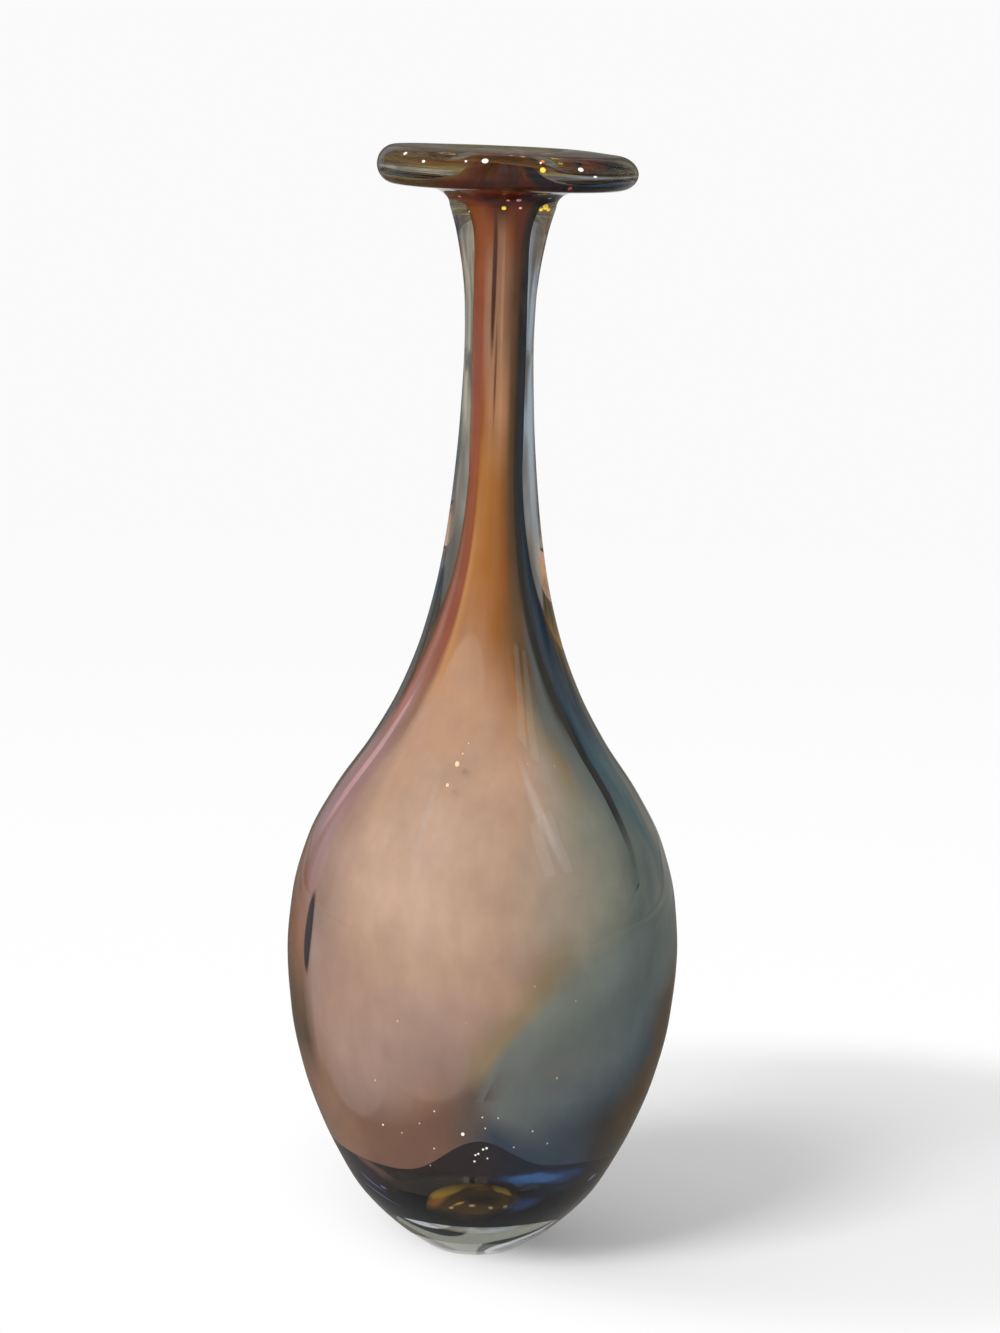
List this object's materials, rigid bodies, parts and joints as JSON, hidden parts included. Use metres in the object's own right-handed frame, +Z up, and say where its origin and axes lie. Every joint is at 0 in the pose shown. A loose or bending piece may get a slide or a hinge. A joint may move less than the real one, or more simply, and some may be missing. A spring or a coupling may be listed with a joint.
{
  "type": "art glass bottle vase",
  "caption": "Tall bottle vase of cased art glass: a bulbous body with streaked colour overlays under clear glass, a long narrow neck, a wide flat lip and a small flat foot.",
  "frame": {"origin": "on the floor under the middle of the foot", "axes": "+Z up along the vase's axis, front towards -Y, +X to the right seen from the front"},
  "size_m": [0.107, 0.107, 0.302],
  "materials": {
    "clear_crystal": "clear, fire polished",
    "lining_glass": "clear with a faint amber tint",
    "cobalt_glass": "very dark blue violet, transparent where thin",
    "gold_glass": "gold amber",
    "peach_glass": "milky peach on the body, amber orange in the neck",
    "rose_glass": "rose to brick red",
    "olive_glass": "olive to near black",
    "amber_glass": "amber",
    "umber_glass": "brown",
    "teal_glass": "blue in the neck to milky grey green on the body",
    "smoke_glass": "olive grey smoke",
    "ink_glass": "near black",
    "trail_glass": "ochre gold"
  },
  "bodies": {
    "root": {"crystal_casing": "clear_crystal", "lip_wrap": "clear_crystal", "bubble_lining": "lining_glass", "cobalt_cup": "cobalt_glass", "gold_button": "gold_glass", "peach_overlay": "peach_glass", "rose_overlay": "rose_glass", "olive_overlay": "olive_glass", "amber_overlay": "amber_glass", "umber_overlay": "umber_glass", "teal_overlay": "teal_glass", "gold_trail": "trail_glass", "smoke_overlay": "smoke_glass", "ink_thread": "ink_glass"}
  },
  "joints": []
}
